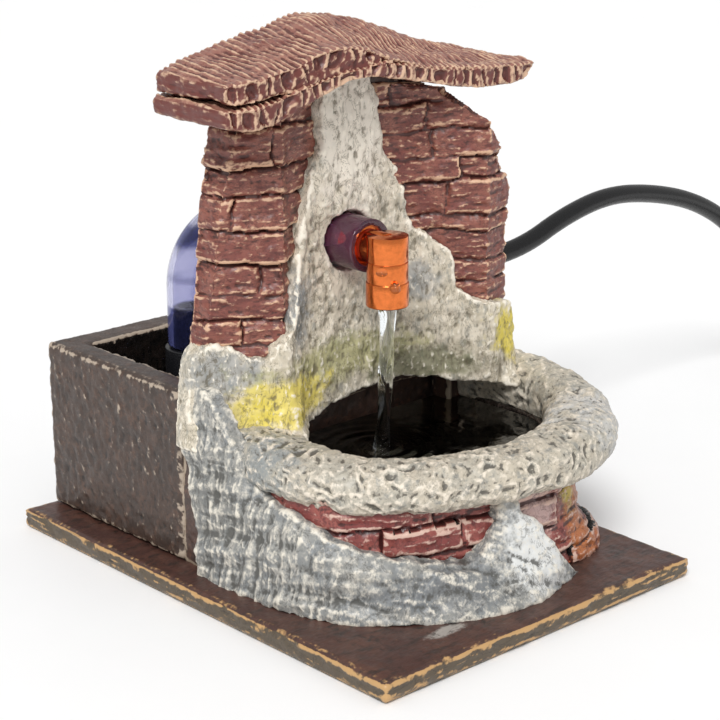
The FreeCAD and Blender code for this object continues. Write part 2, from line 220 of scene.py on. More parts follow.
def woven(name, colour, thread):
    """Woven or matted cloth: crossed threads, with a soft sheen."""
    material, tree, shader = finish(name, Roughness=0.9, Sheen_Weight=0.5)
    place = add_node(tree, "TexCoord").outputs["Object"]
    waves = [add_node(tree, "TexWave", {"Vector": place, "Scale": 1000 / thread / 6.3, "Distortion": 1.5},
                      bands_direction=way).outputs[1] for way in ("X", "Y", "Z")]
    weave = add_node(tree, "Math", {0: waves[0], 1: waves[1]}, operation="ADD").outputs[0]
    weave = add_node(tree, "Math", {0: weave, 1: waves[2]}, operation="ADD").outputs[0]
    colour = rgb(*colour)
    lighter = [part * 1.8 + 0.004 for part in colour[:3]] + [1.0]
    tree.links.new(blend(tree, edge(tree, weave, 0.6, 2.4), colour, lighter), shader.inputs["Base Color"])
    tree.links.new(bump(tree, weave, 0.15), shader.inputs["Normal"])
    return material


plug_sleeve = bevelled_copy("plug_sleeve", "root", lead_pvc, 0.5)
plug_body = bevelled_copy("plug_body", "root", lead_pvc, 0.8, 3)
plug_pins = bevelled_copy("plug_pins", "root", metal("nickel", (205, 203, 196), 0.2), 0)
coil_tie = bevelled_copy("coil_tie", "root", woven("strap_weave", (20, 20, 21), 0.8), 0.4)
gland = bevelled_copy("lead_gland", "root", smooth_plastic("soft_rubber", (22, 22, 23), 0.5), 0.4)


# ---------------------------------------------------------------- base plate
# Cast resin slab, shaped like old timber and earth: a reddish brown top with a wavy surface, chipped
# tan edges and olive-grey sides. A thin sheet of black felt is glued under it.
def remesh(piece, cell):
    """Rebuilds a piece as one closed skin of even faces, a cell wide."""
    apply_modifier(piece, "REMESH", mode="VOXEL", voxel_size=cell * mm)


def soften(piece, passes):
    """Smooths a piece's surface, more with each pass."""
    apply_modifier(piece, "SMOOTH", factor=0.5, iterations=passes)


def cast_copy(node, name, cell, rounding=0.0):
    """The CAD node's shape as one skin of small even faces, ready for its relief."""
    piece = node_copy(node, name)
    if rounding:
        apply_modifier(piece, "BEVEL", width=rounding * mm, segments=3, limit_method="ANGLE",
                       angle_limit=math.radians(40))
    remesh(piece, cell)
    piece.data.materials.clear()
    return piece


def read_points(mesh, what="co"):
    """The places or normals of a mesh's points, as rows of three numbers."""
    source = mesh.vertices if what == "co" else mesh.vertex_normals
    rows = np.empty(len(mesh.vertices) * 3)
    source.foreach_get("co" if what == "co" else "vector", rows)
    return rows.reshape(-1, 3)


def model_surface(piece, proud):
    """Pushes each point out along its normal by proud(place, normal). Places and pushes in millimetres."""
    places, normals = read_points(piece.data), read_points(piece.data, "normal")
    pushes = [proud(Vector(place), Vector(normal)) for place, normal in zip(places / mm, normals)]
    places += normals * np.array(pushes)[:, None] * mm
    piece.data.vertices.foreach_set("co", places.ravel())
    piece.data.update()


def rough(place, size, seed=0, octaves=4):
    """Uneven relief from about -1 to 1. size is the width of its lumps in millimetres along X, Y and Z."""
    spot = Vector((place.x / size[0] + seed * 7.3, place.y / size[1] + seed * 3.1, place.z / size[2]))
    return noise.fractal(spot, 0.8, 2.1, octaves)


def soft_step(value, low, high):
    """0 below low, 1 above high, and a smooth rise between them."""
    part = min(max((value - low) / (high - low), 0.0), 1.0)
    return part * part * (3 - 2 * part)


def mark_relief(piece):
    """Stores how far each point stands above or below the surface round it, in tenths of a millimetre:
    over about a millimetre in "relief" and over a few millimetres in "swell"."""
    mesh = piece.data
    ends = np.empty(len(mesh.edges) * 2, int)
    mesh.edges.foreach_get("vertices", ends)
    first, second = ends.reshape(-1, 2).T
    count = len(mesh.vertices)
    neighbours = np.maximum(np.bincount(ends, minlength=count), 1)
    places, normals = read_points(mesh), read_points(mesh, "normal")
    smoothed = places.copy()
    for name, passes in (("relief", 3), ("swell", 40)):
        for _ in range(passes):
            for axis in range(3):
                column = smoothed[:, axis]
                total = np.bincount(first, column[second], count) + np.bincount(second, column[first], count)
                smoothed[:, axis] = total / neighbours
        height = ((places - smoothed) * normals).sum(axis=1) / (0.1 * mm)
        mesh.attributes.new(name, "FLOAT", "POINT").data.foreach_set("value", height.astype(np.float32))


def patch(tree, centre, reach, ragged=0.5, seed=0.0):
    """1 inside a ragged blob round centre, falling to 0 at its reach. Both in millimetres."""
    place = add_node(tree, "TexCoord").outputs["Object"]
    away = add_node(tree, "VectorMath", {0: place, 1: [c * mm for c in centre]}, operation="SUBTRACT")
    away = add_node(tree, "VectorMath", {0: away.outputs[0], 1: [1000 / r for r in reach]},
                    operation="MULTIPLY")
    length = add_node(tree, "VectorMath", {0: away.outputs[0]}, operation="LENGTH").outputs["Value"]
    wobble = add_node(tree, "Math", {0: grain(tree, 5 + seed, 4.0, 0.7), 1: 0.5}, operation="SUBTRACT")
    length = add_node(tree, "Math", {0: wobble.outputs[0], 1: ragged * 4, 2: length},
                      operation="MULTIPLY_ADD").outputs[0]
    return edge(tree, length, 1.15, 0.55)


def painted(name, body, wash, light, washed=(0.4, 1.6), brushed=(0.5, 1.8), patches=(), roughness=0.5,
            spots=9.0, fine=0.9, stretch=(1, 1, 1), brush_amount=0.9, wash_amount=0.9, grit=0.6,
            sides=None, cracks=0.5, crack_size=5.0):
    """Painted cast resin: three body colours in clouds, patches of other colours, a dark wash that stayed
    in the hollows, fine dark cracks and a pale coat dry-brushed on whatever stands proud, under a thin
    satin varnish. sides is a colour for the steep faces."""
    material, tree, shader = finish(name, Coat_Weight=0.12, Coat_Roughness=0.25)
    relief = add_node(tree, "Attribute", attribute_name="relief").outputs["Fac"]
    swell = add_node(tree, "Attribute", attribute_name="swell").outputs["Fac"]
    cloud, speckle = grain(tree, spots, 4.0, 0.65), grain(tree, fine, 3.0, 0.7, stretch)
    colour = blend(tree, edge(tree, cloud, 0.38, 0.62), rgb(*body[0]), rgb(*body[1]))
    colour = blend(tree, edge(tree, grain(tree, spots / 3, 4.0, 0.7, stretch), 0.5, 0.66), colour,
                   rgb(*body[2]))
    for number, (centre, reach, tint, amount) in enumerate(patches):
        mask = patch(tree, centre, reach, 0.5, number * 0.37)
        mask = add_node(tree, "Math", {0: mask, 1: amount}, operation="MULTIPLY").outputs[0]
        colour = blend(tree, mask, colour, rgb(*tint))
    if sides:
        facing_up = add_node(tree, "SeparateXYZ", {0: add_node(tree, "NewGeometry").outputs["Normal"]})
        colour = blend(tree, edge(tree, facing_up.outputs["Z"], 0.75, 0.4), colour, rgb(*sides))
    shake = add_node(tree, "Math", {0: speckle, 1: 0.5}, operation="SUBTRACT").outputs[0]
    proud = add_node(tree, "Math", {0: shake, 1: 5 * grit, 2: relief}, operation="MULTIPLY_ADD").outputs[0]
    strokes = add_node(tree, "Math", {0: grain(tree, 3.4, 3.0, 0.6), 1: 0.5}, operation="SUBTRACT")
    proud = add_node(tree, "Math", {0: strokes.outputs[0], 1: 7 * grit, 2: proud},
                     operation="MULTIPLY_ADD").outputs[0]
    wide = add_node(tree, "Math", {0: swell, 1: 0.25, 2: proud}, operation="MULTIPLY_ADD").outputs[0]
    colour = blend(tree, edge(tree, wide, -washed[0], -washed[1], wash_amount), colour, rgb(*wash))
    vein = add_node(tree, "Math", {0: grain(tree, crack_size, 5.0, 0.72, stretch, 0.6), 1: 0.5},
                    operation="SUBTRACT").outputs[0]
    vein = add_node(tree, "Math", {0: vein}, operation="ABSOLUTE").outputs[0]
    colour = blend(tree, edge(tree, vein, 0.022, 0.004, cracks), colour, rgb(*wash))
    colour = blend(tree, edge(tree, proud, brushed[0], brushed[1], brush_amount), colour, rgb(*light))
    tree.links.new(colour, shader.inputs["Base Color"])
    tree.links.new(edge(tree, speckle, -0.4, 1.0, roughness * 1.5), shader.inputs["Roughness"])
    tree.links.new(bump(tree, speckle, 0.12, 0.6), shader.inputs["Normal"])
    return material


def complete(piece, material, body, slot, *nodes):
    """Shades a modelled piece, paints it and puts it in the place of its CAD nodes."""
    smooth_sides(piece, 80)
    mark_relief(piece)
    piece.data.materials.append(material)
    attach(piece, body)
    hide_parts(*nodes)


def base_relief(place, normal):
    """Long low waves on top, chips along the edges, and a shallow ledge round the sides."""
    lumps = 0.45 * rough(place, (26, 40, 12), 1) + 0.16 * rough(place, (3.5, 5, 2), 2)
    if normal.z < -0.6:
        return 0.0
    if normal.z < 0.5:
        chips = 0.55 * rough(place, (9, 9, 3), 3) + 0.35 * rough(place, (30, 30, 0.9), 4)
        return (chips + 0.3) * soft_step(place.z, 0.6, 2.0)
    return lumps - 0.2


base = cast_copy("base_plate", "base_slab", 0.75)
model_surface(base, base_relief)
bpy.context.view_layer.objects.active = base
bpy.context.tool_settings.mesh_select_mode = (False, False, True)
for face in base.data.polygons:
    face.select = face.normal.z < -0.99
bpy.ops.object.mode_set(mode="EDIT")
bpy.ops.mesh.delete(type="FACE")
bpy.context.tool_settings.mesh_select_mode = (True, False, False)
bpy.ops.mesh.select_all(action="DESELECT")
bpy.ops.mesh.select_non_manifold()
bpy.ops.mesh.edge_face_add()
bpy.ops.object.mode_set(mode="OBJECT")
brown_resin = painted("brown_resin", [(72, 46, 40), (86, 56, 46), (56, 40, 35)], (36, 27, 23),
                      (202, 160, 106), brushed=(1.1, 2.6), stretch=(3, 1, 1), roughness=0.42,
                      brush_amount=0.85, sides=(84, 72, 56),
                      patches=[((-27, -72, 6), (8, 2.5, 3), (200, 196, 188), 0.55)])
complete(base, brown_resin, "root", "brown_resin", "base_plate")
bevelled_copy("base_felt", "root", woven("black_felt", (18, 18, 19), 0.5), 0.15)


# ---------------------------------------------------------------- water tub
# Cast resin tank at the back with thick walls, stippled all over on the outside and painted near black
# inside as shade, with the return channel from the basin in its front wall.
def tub_relief(place, normal):
    """Stippled sides, a rim that was scraped flatter, and soft waves inside."""
    if abs(normal.z) > 0.7:
        return 0.25 * rough(place, (12, 12, 5), 5) + 0.1 * rough(place, (2, 2, 2), 6)
    return 0.5 + 0.3 * rough(place, (14, 14, 20), 7) + 0.42 * rough(place, (2.1, 2.1, 3.2), 8, 3)


tub = cast_copy("reservoir_tub", "water_tub", 0.78, 1.4)
model_surface(tub, tub_relief)
tub_paint = painted("tub_resin", [(70, 53, 44), (60, 47, 40), (84, 62, 50)], (30, 24, 20),
                    (180, 164, 146), washed=(0.9, 3.0), brushed=(1.3, 3.2), roughness=0.42, fine=0.7)
complete(tub, tub_paint, "root", "brown_resin", "reservoir_tub")
# Near black paint for the insides of the tub and the bowl: painted shade in their deep hollows.
inside_shade_paint = painted("painted_shade_resin", [(24, 20, 18), (32, 25, 22), (17, 15, 14)], (10, 9, 9), (70, 60, 54),
                    brushed=(1.6, 4.0), roughness=0.25, fine=0.8)


def paint_inside(piece, low, high):
    """Gives the faces whose middle lies in a box (millimetres) the near black painted shade of a deep inside.
    """
    piece.data.materials.append(inside_shade_paint)
    for face in piece.data.polygons:
        if all(a < place / mm < b for a, place, b in zip(low, face.center, high)):
            face.material_index = 1


paint_inside(tub, (-44.5, 23, 8), (44.5, 74.5, 58.6))


# ---------------------------------------------------------------- brick wall core
# The wall's plain inner mass. Its back and ends show over the tub, rough and brown.
def core_relief(place, normal):
    fuller = 1.4 if normal.x < -0.6 and place.z < 60 else -0.3
    return fuller + 0.4 * rough(place, (12, 12, 9), 9) + 0.35 * rough(place, (2.4, 2.4, 3.4), 10, 3)


core = cast_copy("wall_core", "wall_core_cast", 0.75, 0.8)
model_surface(core, core_relief)
core_paint = painted("wall_resin", [(78, 57, 49), (66, 52, 46), (98, 70, 58)], (34, 27, 24),
                     (176, 160, 140), washed=(1.0, 3.0), brushed=(1.3, 3.0), roughness=0.42, fine=0.7)
complete(core, core_paint, "root", "brick_resin", "wall_core")


# ---------------------------------------------------------------- brick pillars
# Two uneven brick stacks that stand proud of the plaster, each turned towards the tap. The bricks are
# layered like slate, with dark joints and cream paint dragged over their edges.
def brickwork(place, beds, joints, seed, groove=1.1, width=0.6):
    """How far a brick face stands out: beds are the heights of the level joints, and joints gives the
    places of each course's upright joints."""
    wobble = 1.5 * rough(place, (15, 15, 22), seed, 3)
    height = place.z + wobble
    across = place.x + 1.6 * rough(place, (9, 9, 8), seed + 1, 2)
    course = sum(height > bed for bed in beds)
    nearest = min(abs(height - bed) for bed in beds)
    uprights = joints[course % len(joints)]
    brick = sum(across > joint for joint in uprights)
    if uprights:
        nearest = min(nearest, min(abs(across - joint) for joint in uprights))
    chance = noise.cell(Vector((course * 3.7 + seed, brick * 5.1, seed)))
    tilt = noise.cell(Vector((course * 1.9, brick * 2.3 + seed, 9.4)))
    middle = beds[min(course, len(beds) - 1)] - 4
    out = 1.3 * (chance - 0.5) + 0.14 * (tilt - 0.5) * (height - middle)
    slate = 0.55 * rough(place, (13, 13, 2.2), seed + 2, 3)
    chips = 0.38 * rough(place, (3.4, 3.4, 2.0), seed + 3, 3)
    depth = groove * (0.75 + 0.6 * rough(place, (7, 7, 7), seed + 4, 2))
    return out + slate + chips - depth * math.exp(-(nearest / width) ** 2)


left_beds = (66, 73.5, 81, 88.5, 98, 108, 118, 126, 137, 143)
left_joints = ((), (), (-38,), (), (-33,), (), (-40,), (), (-30,), (), (-36,))
right_beds = (66, 81.8, 88.5, 98.3, 103, 113.6, 120.7, 129.6, 138, 145.6)
right_joints = ((), (), (), (30,), (), (35,), (38,), (31,), (29.6,), (19,), (22,))


def left_bricks(place, normal):
    """The left stack's courses, shallower on its back."""
    push = brickwork(place, left_beds, left_joints, 11)
    return push * (0.35 if normal.y > 0.5 else 1.0)


def right_bricks(place, normal):
    """The right stack's courses, rougher on its outer end."""
    push = brickwork(place, right_beds, right_joints, 23)
    if normal.x > 0.5:
        push = 1.6 * push + 0.8 * rough(place, (9, 9, 5), 24, 2)
    return push * (0.35 if normal.y > 0.5 else 1.0)


brick_paint = painted("maroon_brick", [(118, 62, 54), (140, 84, 70), (96, 48, 42)], (62, 30, 25),
                      (220, 180, 148), washed=(0.6, 2.6), brushed=(0.7, 2.5), roughness=0.42,
                      fine=0.6, stretch=(1.8, 1.8, 0.7), brush_amount=0.85, cracks=0.7, crack_size=3.5)


def widen(piece, edge_x, reach, shift):
    """Moves the edge of a brick stack that meets the plaster sideways, in its upper part."""
    for point in piece.data.vertices:
        x, z = point.co.x / mm, point.co.z / mm
        share = soft_step(abs(x - edge_x), reach, 0) * soft_step(z, 103, 118)
        point.co.x += share * shift * mm


left_pillar = cast_copy("left_brick_pillar", "left_bricks", 0.5, 0.8)
widen(left_pillar, -15, 9, 8)
model_surface(left_pillar, left_bricks)
complete(left_pillar, brick_paint, "root", "brick_resin", "left_brick_pillar")
right_pillar = cast_copy("right_brick_pillar", "right_bricks", 0.5, 0.8)
widen(right_pillar, 20, 9, -9)
model_surface(right_pillar, right_bricks)
complete(right_pillar, brick_paint, "root", "brick_resin", "right_brick_pillar")


# ---------------------------------------------------------------- plaster facing
# The rendered skin between the pillars: thick lime plaster over the wall, ragged where it runs onto the
# bricks, rolled forward at its foot, with moss low down and the hole that the hose comes through.
def through(stations, at):
    """The smooth curve through a few (place, value) stations, read at one place."""
    places = [place for place, _ in stations]
    last = len(stations) - 1
    at = min(max(at, places[0]), places[-1])
    span = min(max(sum(at >= place for place in places) - 1, 0), last - 1)
    (x0, v0), (x1, v1) = stations[span], stations[span + 1]
    before, after = stations[max(span - 1, 0)], stations[min(span + 2, last)]
    slope0, slope1 = (v1 - before[1]) / (x1 - before[0]), (after[1] - v0) / (after[0] - x0)
    part, run = (at - x0) / (x1 - x0), x1 - x0
    return ((1 + 2 * part) * (1 - part) ** 2 * v0 + part ** 2 * (3 - 2 * part) * v1
            + run * part * (1 - part) * ((1 - part) * slope0 - part * slope1))


def face_outwards():
    """Turns every face of the active piece outwards."""
    bpy.ops.object.mode_set(mode="EDIT")
    bpy.ops.mesh.select_all(action="SELECT")
    bpy.ops.mesh.normals_make_consistent(inside=False)
    bpy.ops.object.mode_set(mode="OBJECT")


def cell_block(name, low, high, cells):
    """A block between two corners whose top and bottom are grids of small cells."""
    middle = [(a + b) / 2 * mm for a, b in zip(low, high)]
    bpy.ops.object.select_all(action="DESELECT")
    bpy.ops.mesh.primitive_grid_add(x_subdivisions=cells[0], y_subdivisions=cells[1], size=1,
                                    location=(middle[0], middle[1], low[2] * mm))
    piece = bpy.context.object
    piece.name = piece.data.name = name
    piece.scale = ((high[0] - low[0]) * mm, (high[1] - low[1]) * mm, 1)
    bpy.ops.object.transform_apply(location=True, rotation=True, scale=True)
    bpy.ops.object.mode_set(mode="EDIT")
    bpy.ops.mesh.select_all(action="SELECT")
    bpy.ops.mesh.extrude_region_move(TRANSFORM_OT_translate={"value": (0, 0, (high[2] - low[2]) * mm)})
    bpy.ops.object.mode_set(mode="OBJECT")
    face_outwards()
    return piece


plaster_left = [(73, -32), (78, -27), (90, -23), (104, -20.5), (115, -17.5), (126, -12), (134, -10.4),
                (150, -10)]
plaster_right = [(68, 62), (73, 57), (77, 42), (83, 37.5), (93, 35), (101, 26), (113, 23), (126, 16.5),
                 (132, 14.5), (150, 11)]
wall_line = [(-54, 13.5), (-52, 12), (-40, 3.6), (-28.5, -4.5), (-24, -3.5), (-19, -0.5), (-8, 0.2),
             (8, 0.2), (19, 1), (24, -1), (34, -8), (45, -15.3), (52, -14.2), (58, -11.8), (62, -7.5),
             (64.5, -1)]
lip_line = [(-30, 44), (-22, 46), (-15, 47.7), (-10, 49.3), (-1, 51.5), (11, 52.4), (29, 52.1),
            (42, 49.6), (55, 46.4), (65, 45)]
left_limit = [(45, -54), (66, -52), (73, -50), (77, -44), (82, -32), (98, -27), (122, -19), (150, -16)]
right_limit = [(45, 62), (58, 64), (66, 63), (72, 60), (78, 50), (84, 44), (96, 40), (104, 32), (121, 27),
               (134, 21), (150, 17)]


def plaster_front(x, z):
    """Y of the plaster's outer face at a place on the wall, before its fine relief."""
    ragged = 2.2 * noise.fractal(Vector((x / 9, z / 7, 3.3)), 0.8, 2.1, 4)
    low_edge = 73.5 + 2.0 * math.sin(x / 4.5) + ragged
    on_left = soft_step(through(plaster_left, z) - x + ragged * 0.6, -1.2, 0.2)
    on_right = soft_step(x - through(plaster_right, z) + ragged * 0.6, -1.2, 0.2)
    bare = on_left * soft_step(z, low_edge - 0.4, low_edge + 0.8) + on_right * soft_step(z, 70, 73)
    out = through(wall_line, x)
    foot = 5.5 * math.exp(-max(z - 48, 0) / 6.0) * (soft_step(-x, 14, 26) + soft_step(x, 48, 56))
    pillow = 0.9 * soft_step(z, 150, 110)
    face = out - 0.7 - pillow - foot
    return face + (out + 5.5 - face) * min(bare, 1.0)


def plaster_relief(place, normal):
    """Trowelled and stippled plaster: upright drags, small knobs, and broad lumps."""
    drags = 0.5 * rough(place, (3.0, 3.0, 8), 31, 4)
    knobs = 0.3 * rough(place, (2.3, 2.3, 2.3), 32, 3)
    lumps = 0.8 * rough(place, (8, 8, 9), 33, 3)
    return drags + knobs + lumps if normal.y < 0.3 else 0.0


def place_on_wall(x, z, depth):
    """Where a point of the plaster's block goes: x across, z up, depth 0 inside and 1 at the face."""
    x = min(max(x, through(left_limit, z)), through(right_limit, z))
    lowest = through(lip_line, x)
    z = min(lowest + (z - 45) * (150 - lowest) / 105, 152 - 0.0035 * (x + 1) ** 2)
    back = min(max(through(wall_line, x) + 8.0, 7.0), 15.5)
    return x, min(plaster_front(x, z), back - 0.4) if depth else back, z


def mapped_block(name, low, high, cells, place):
    """A cell block with each of its points moved to place(point)."""
    piece = cell_block(name, low, high, cells)
    for point in piece.data.vertices:
        point.co = Vector(place(*(point.co / mm))) * mm
    face_outwards()
    return piece


facing = mapped_block("plaster_skin", (-54, 45, 0), (64.5, 150, 1), (238, 210), place_on_wall)
remesh(facing, 0.55)
hole_r, hole_z = 9.3, 100
bpy.ops.mesh.primitive_cylinder_add(vertices=40, radius=hole_r * mm, depth=0.03, location=(0, 0, hole_z * mm),
                                    rotation=(math.radians(90), 0, 0))
drill = bpy.context.object
soften(facing, 3)
apply_modifier(facing, "BOOLEAN", object=drill, operation="DIFFERENCE", solver="EXACT")
bpy.data.objects.remove(drill)
remesh(facing, 0.55)
model_surface(facing, plaster_relief)
slate_blue, yellow, olive, moss = (124, 132, 140), (226, 206, 70), (168, 166, 96), (92, 96, 56)
plaster_paint = painted(
    "wall_plaster", [(216, 206, 188), (196, 186, 166), (164, 160, 148)], (96, 88, 70), (240, 232, 216),
    washed=(0.5, 2.8), brushed=(0.6, 2.4), roughness=0.55, spots=7, fine=0.8, stretch=(1, 1, 2),
    wash_amount=0.7, cracks=0.55, crack_size=5.5,
    patches=[((2, -2, 132), (16, 12, 26), (232, 224, 210), 0.85),
             ((-44, 6, 66), (11, 20, 8), slate_blue, 0.6),
             ((-21, 0, 82), (6, 10, 12), slate_blue, 0.7), ((22, -2, 84), (13, 12, 8), slate_blue, 0.55),
             ((-4, 0, 64), (34, 14, 8), olive, 0.6), ((28, -6, 57), (24, 16, 6), moss, 0.7),
             ((-26, -4, 56), (20, 14, 8), yellow, 0.75), ((55, -12, 64), (11, 14, 10), yellow, 0.9),
             ((-38, 2, 53), (12, 14, 6), yellow, 0.6)])
complete(facing, plaster_paint, "root", "plaster_resin", "plaster_facing")


# ---------------------------------------------------------------- roof tiles
# Two ridged slabs, one on the other at the left end and run together at the right. Their tops are combed
# from front to back, and their front edges are pressed in with the ends of round tiles.
crest = [(-54, 154.3), (-43, 156.4), (-34, 158.6), (-15.6, 162.6), (-6, 165.2), (2.5, 165), (15.6, 162.6),
         (26.6, 159.4), (38, 155.3), (51, 152), (66, 149)]
upper_front = [(-54, 153.8), (-50, 154.5), (-40, 155.3), (-30, 157), (-23, 159), (-13, 160.2),
               (-3, 158.5), (4, 155.6), (12, 153.6), (24, 151), (41, 149), (66, 147)]
lower_top = [(-54, 147), (-47, 146.6), (-38, 148.5), (-27, 150.8), (-15, 153.1), (-5, 153.9), (2, 154.6),
             (8, 153.4), (24, 150.4), (41, 148.6), (66, 147.6)]
underside = [(-54, 141.5), (-48, 140.5), (-35.5, 142.3), (-22, 147.2), (-7.6, 150.6), (8, 148.8),
             (24, 145.5), (41, 142.3), (56, 142.2), (62, 143.5), (66, 146)]


def shape_block(piece, low, high, under, over):
    """Bends a cell block's underside and top to under(x, y) and over(x, y)."""
    for point in piece.data.vertices:
        x, y, z = point.co / mm
        share = (z - low) / (high - low)
        point.co.z = (under(x, y) + share * (over(x, y) - under(x, y))) * mm
    piece.data.update()


def round_ends(piece, x_ends, y_ends, reach):
    """Draws the corners of a slab's plan in, so that its ends are rounded."""
    for point in piece.data.vertices:
        x, y, z = point.co / mm
        side = min(x - x_ends[0], x_ends[1] - x)
        pull = max(0.0, 1 - side / reach) ** 2
        middle = (y_ends[0] + y_ends[1]) / 2
        point.co.y = (middle + (y - middle) * (1 - 0.12 * pull)) * mm


def combed(place, pitch, seed):
    """Ridges that run from front to back, about a pitch apart, with wandering lines."""
    across = place.x - 0.12 * place.y + 1.4 * rough(place, (14, 22, 14), seed, 2)
    wave = (0.5 + 0.5 * math.sin(2 * math.pi * across / pitch)) ** 2
    return (0.75 * wave - 0.3) * (0.7 + 0.5 * rough(place, (8, 12, 8), seed + 1, 2))


def pressed_ends(place, pitch, middle_z, seed):
    """A row of oval hollows along the front edge, with thin walls between them."""
    across = place.x + 2.6 * rough(place, (9, 9, 9), seed, 2)
    cell = math.floor(across / pitch)
    width = 0.26 + 0.2 * noise.cell(Vector((cell, seed, 2.2)))
    off = abs(across / pitch - cell - 0.5) / width
    up = abs(place.z - middle_z - 1.2 * noise.cell(Vector((cell, seed, 7.7)))) / 3.2
    return -1.3 * soft_step(1.15 - math.hypot(off, up), 0.0, 0.5)


def lower_tiles(place, normal):
    chips = 0.3 * rough(place, (2.2, 2.6, 1.4), 41, 3) + 0.9 * rough(place, (9, 9, 6), 42, 2)
    if normal.z > 0.55:
        return combed(place, 2.3, 43) + chips
    if normal.y < -0.4:
        middle = (through(lower_top, place.x) + through(underside, place.x)) / 2
        return pressed_ends(place, 4.6, middle, 44) + 0.7 * chips
    return 0.6 * chips + 0.25 * rough(place, (10, 10, 1.2), 45, 2)


def upper_tiles(place, normal):
    chips = 0.28 * rough(place, (2.2, 2.8, 1.4), 46, 3) + 0.9 * rough(place, (10, 10, 6), 47, 2)
    if normal.z > 0.45:
        return combed(place, 2.3, 48) + chips
    if normal.y < -0.4:
        middle = (through(lower_top, place.x) + through(upper_front, place.x)) / 2 + 1
        return pressed_ends(place, 6.2, middle, 51) + 0.9 * rough(place, (3.2, 3, 3), 49, 3) - 0.2
    return chips + 0.3 * rough(place, (10, 10, 1.4), 50, 2)


roof_low = cell_block("lower_tiles", (-55, -15, 141), (67.5, 22, 150), (110, 36))
shape_block(roof_low, 141, 150, lambda x, y: through(underside, x) + 0.02 * (y + 14),
            lambda x, y: through(lower_top, x) + 0.3 * soft_step(y, -14, 10))
round_ends(roof_low, (-55, 67.5), (-15, 22), 9)
remesh(roof_low, 0.55)
soften(roof_low, 14)
model_surface(roof_low, lower_tiles)

roof_top = cell_block("upper_tiles", (-54, -14, 148), (64, 21, 160), (110, 36))
shape_block(roof_top, 148, 160, lambda x, y: through(lower_top, x) - 1.5 + 2.6 * soft_step(-x, 22, 40),
            lambda x, y: through(upper_front, x) - 0.3
            + (through(crest, x) - through(upper_front, x)) * soft_step(y, -15, 17))
round_ends(roof_top, (-54, 64), (-14, 21), 9)
remesh(roof_top, 0.55)
soften(roof_top, 14)
model_surface(roof_top, upper_tiles)

tile_paint = painted("roof_tiles", [(142, 92, 80), (160, 112, 96), (114, 62, 54)], (82, 36, 30),
                     (218, 182, 152), washed=(0.4, 2.0), brushed=(0.7, 2.8), roughness=0.42, fine=0.6,
                     stretch=(1, 3.5, 1), brush_amount=0.85, sides=(104, 50, 43), cracks=0.3, grit=0.34)
complete(roof_low, tile_paint, "root", "tile_resin", "roof_lower_tiles")
complete(roof_top, tile_paint, "root", "tile_resin", "roof_upper_tiles")


# ---------------------------------------------------------------- basin bowl
# The brick-faced bowl under the rim, painted near black inside as shade, with a mossy right side.
# The outline of its bricks in plan, from the wall's left end round the front to its right end, and the
# outline of the hollow beside the same stations.
brick_line = [(-46, 3), (-47, -4), (-46.5, -14), (-46.5, -28), (-42.5, -42), (-32, -51.5), (-20, -57),
              (-8, -60.5), (3, -63), (15, -64.5), (28, -64), (40, -60), (50, -52), (57, -41), (60, -27),
              (60.5, -12), (60, 3)]
hollow_line = [(-25, 3), (-25, -4), (-26, -14), (-26, -26), (-23, -36), (-17, -41.5), (-9, -44.5),
               (-2, -47), (5, -49), (15, -51), (26, -50), (36, -46), (45, -41), (51, -33), (54, -23),
               (54, -11), (54, 3)]


def along(line, at, axis):
    """One coordinate of the smooth line through evenly counted points."""
    return through([(number, point[axis]) for number, point in enumerate(line)], at)


def bowl_side(station, height, depth):
    z = 6.2 + 32.8 * height
    line = brick_line if depth else hollow_line
    x, y = along(line, station, 0), along(line, station, 1)
    if depth:
        flare = 6.5 * soft_step(20 - z, 0, 14) * soft_step(station, 9, 12) * soft_step(16.5 - station, 0, 3)
        x, y = x + (0.3 + 0.5 * soft_step(station, 10, 13)) * flare, y - 0.75 * flare
    return x, y, z


def bowl_bricks(place, normal):
    middle = Vector((place.x - 8, place.y + 20, 0))
    if normal.dot(middle) < 0 or normal.z > 0.7:
        return 0.3 * rough(place, (5, 5, 5), 51, 3)
    return brickwork(place, bowl_beds, bowl_joints, 52, 1.3, 0.7) - 0.1


bowl_beds = (12, 21.5, 30)
bowl_joints = ((-30, -8, 14, 34), (-24, -2, 20, 44), (-32, -9, 3.5, 26), (-18, 6, 30))
bowl = mapped_block("brick_bowl", (0, 0, 0), (16, 1, 1), (330, 44), bowl_side)
bpy.ops.mesh.primitive_cylinder_add(vertices=96, radius=1, depth=1, location=(0, 0, 0))
bowl_floor = bpy.context.object
for point in bowl_floor.data.vertices:
    x, y, z = point.co
    point.co = Vector((14 + 44 * x, max(-24 + 33 * y, -60), 10.2 + 8 * z)) * mm
bowl_floor.select_set(True)
bowl.select_set(True)
bpy.context.view_layer.objects.active = bowl
bpy.ops.object.join()
remesh(bowl, 0.62)
model_surface(bowl, bowl_bricks)
bowl_paint = painted("basin_brick", [(124, 56, 52), (148, 80, 72), (100, 46, 44)], (60, 26, 24),
                     (214, 182, 166), washed=(0.6, 2.6), brushed=(0.8, 2.6), roughness=0.4, fine=0.7,
                     cracks=0.6, crack_size=4,
                     patches=[((15, -65, 28), (12, 10, 11), (196, 172, 166), 0.7),
                              ((42, -61, 20), (14, 14, 18), (186, 112, 58), 0.85),
                              ((36, -64, 28), (6, 8, 8), (196, 180, 66), 0.8),
                              # Painted shade: a near black patch over the bowl's hollow.
                              ((15, -21, 24), (43, 29, 26), (20, 15, 13), 1.0)])
complete(bowl, bowl_paint, "root", "brick_resin", "basin_bowl")
# The bowl's inner faces take the near black painted shade.
bowl.data.materials.append(inside_shade_paint)
for face in bowl.data.polygons:
    middle = Vector((face.center.x / mm - 8, face.center.y / mm + 20, 0))
    if face.normal.dot(middle) < 0.2 * middle.length and middle.length < 58 and face.center.z > 9 * mm:
        face.material_index = 1


